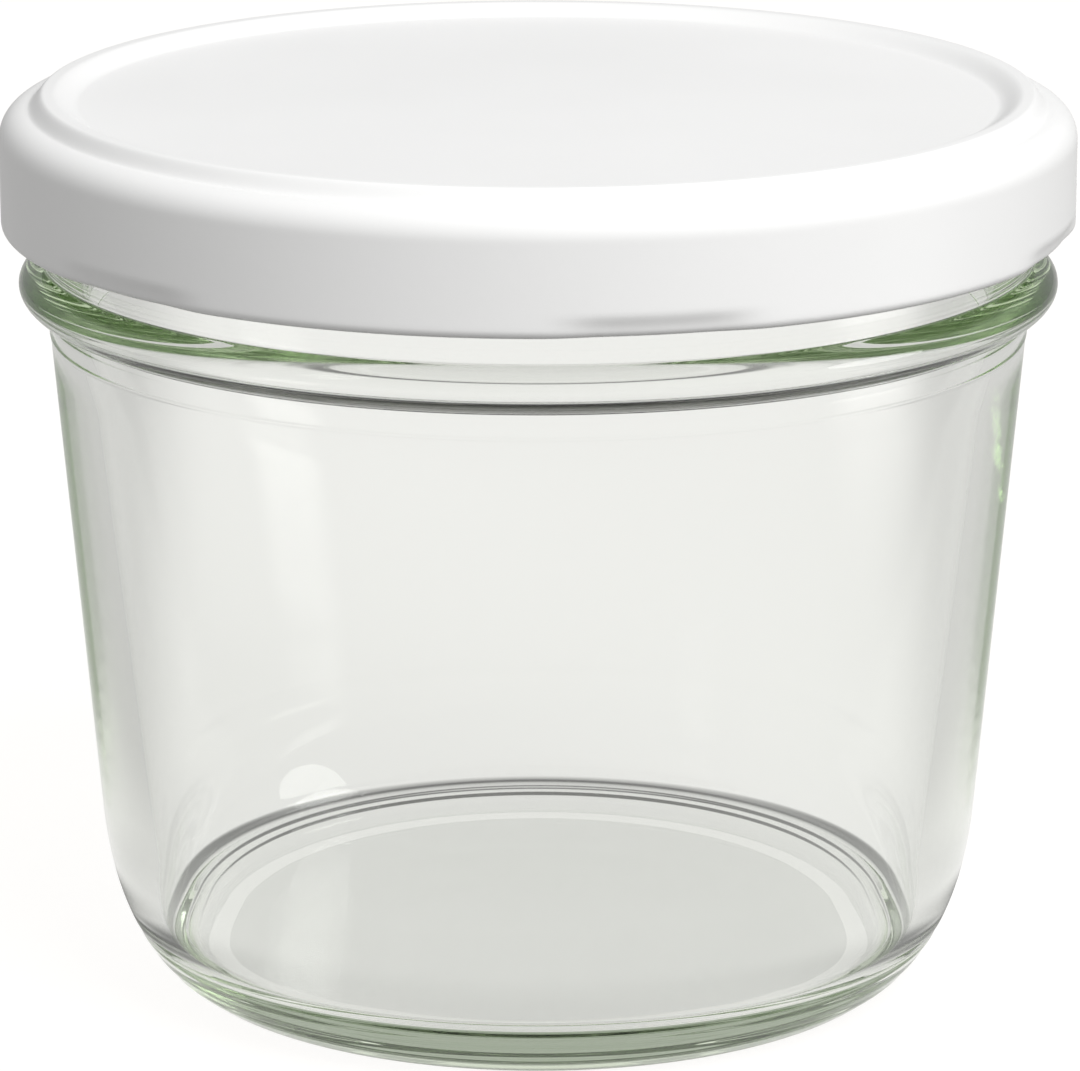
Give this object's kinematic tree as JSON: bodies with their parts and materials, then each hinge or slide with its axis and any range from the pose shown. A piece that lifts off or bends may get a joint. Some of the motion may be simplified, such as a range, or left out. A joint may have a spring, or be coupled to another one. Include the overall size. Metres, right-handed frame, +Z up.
{
  "type": "jam jar",
  "caption": "Empty tapered jar of clear glass with a rounded heel and a bead under the neck, closed by a white twist-off sheet metal lid.",
  "frame": {"origin": "middle of the base, on the surface that the jar stands on", "axes": "+Z up along the jar's axis, -Y towards the front as pictured"},
  "size_m": [0.085, 0.085, 0.0724],
  "materials": {
    "clear_glass": "smooth clear glass with a faint green tint where it is thick",
    "white_lacquer": "white satin lacquer on tinned sheet steel"
  },
  "bodies": {
    "root": {"glass_jar": "clear_glass", "twist_lid": "white_lacquer"}
  },
  "joints": []
}
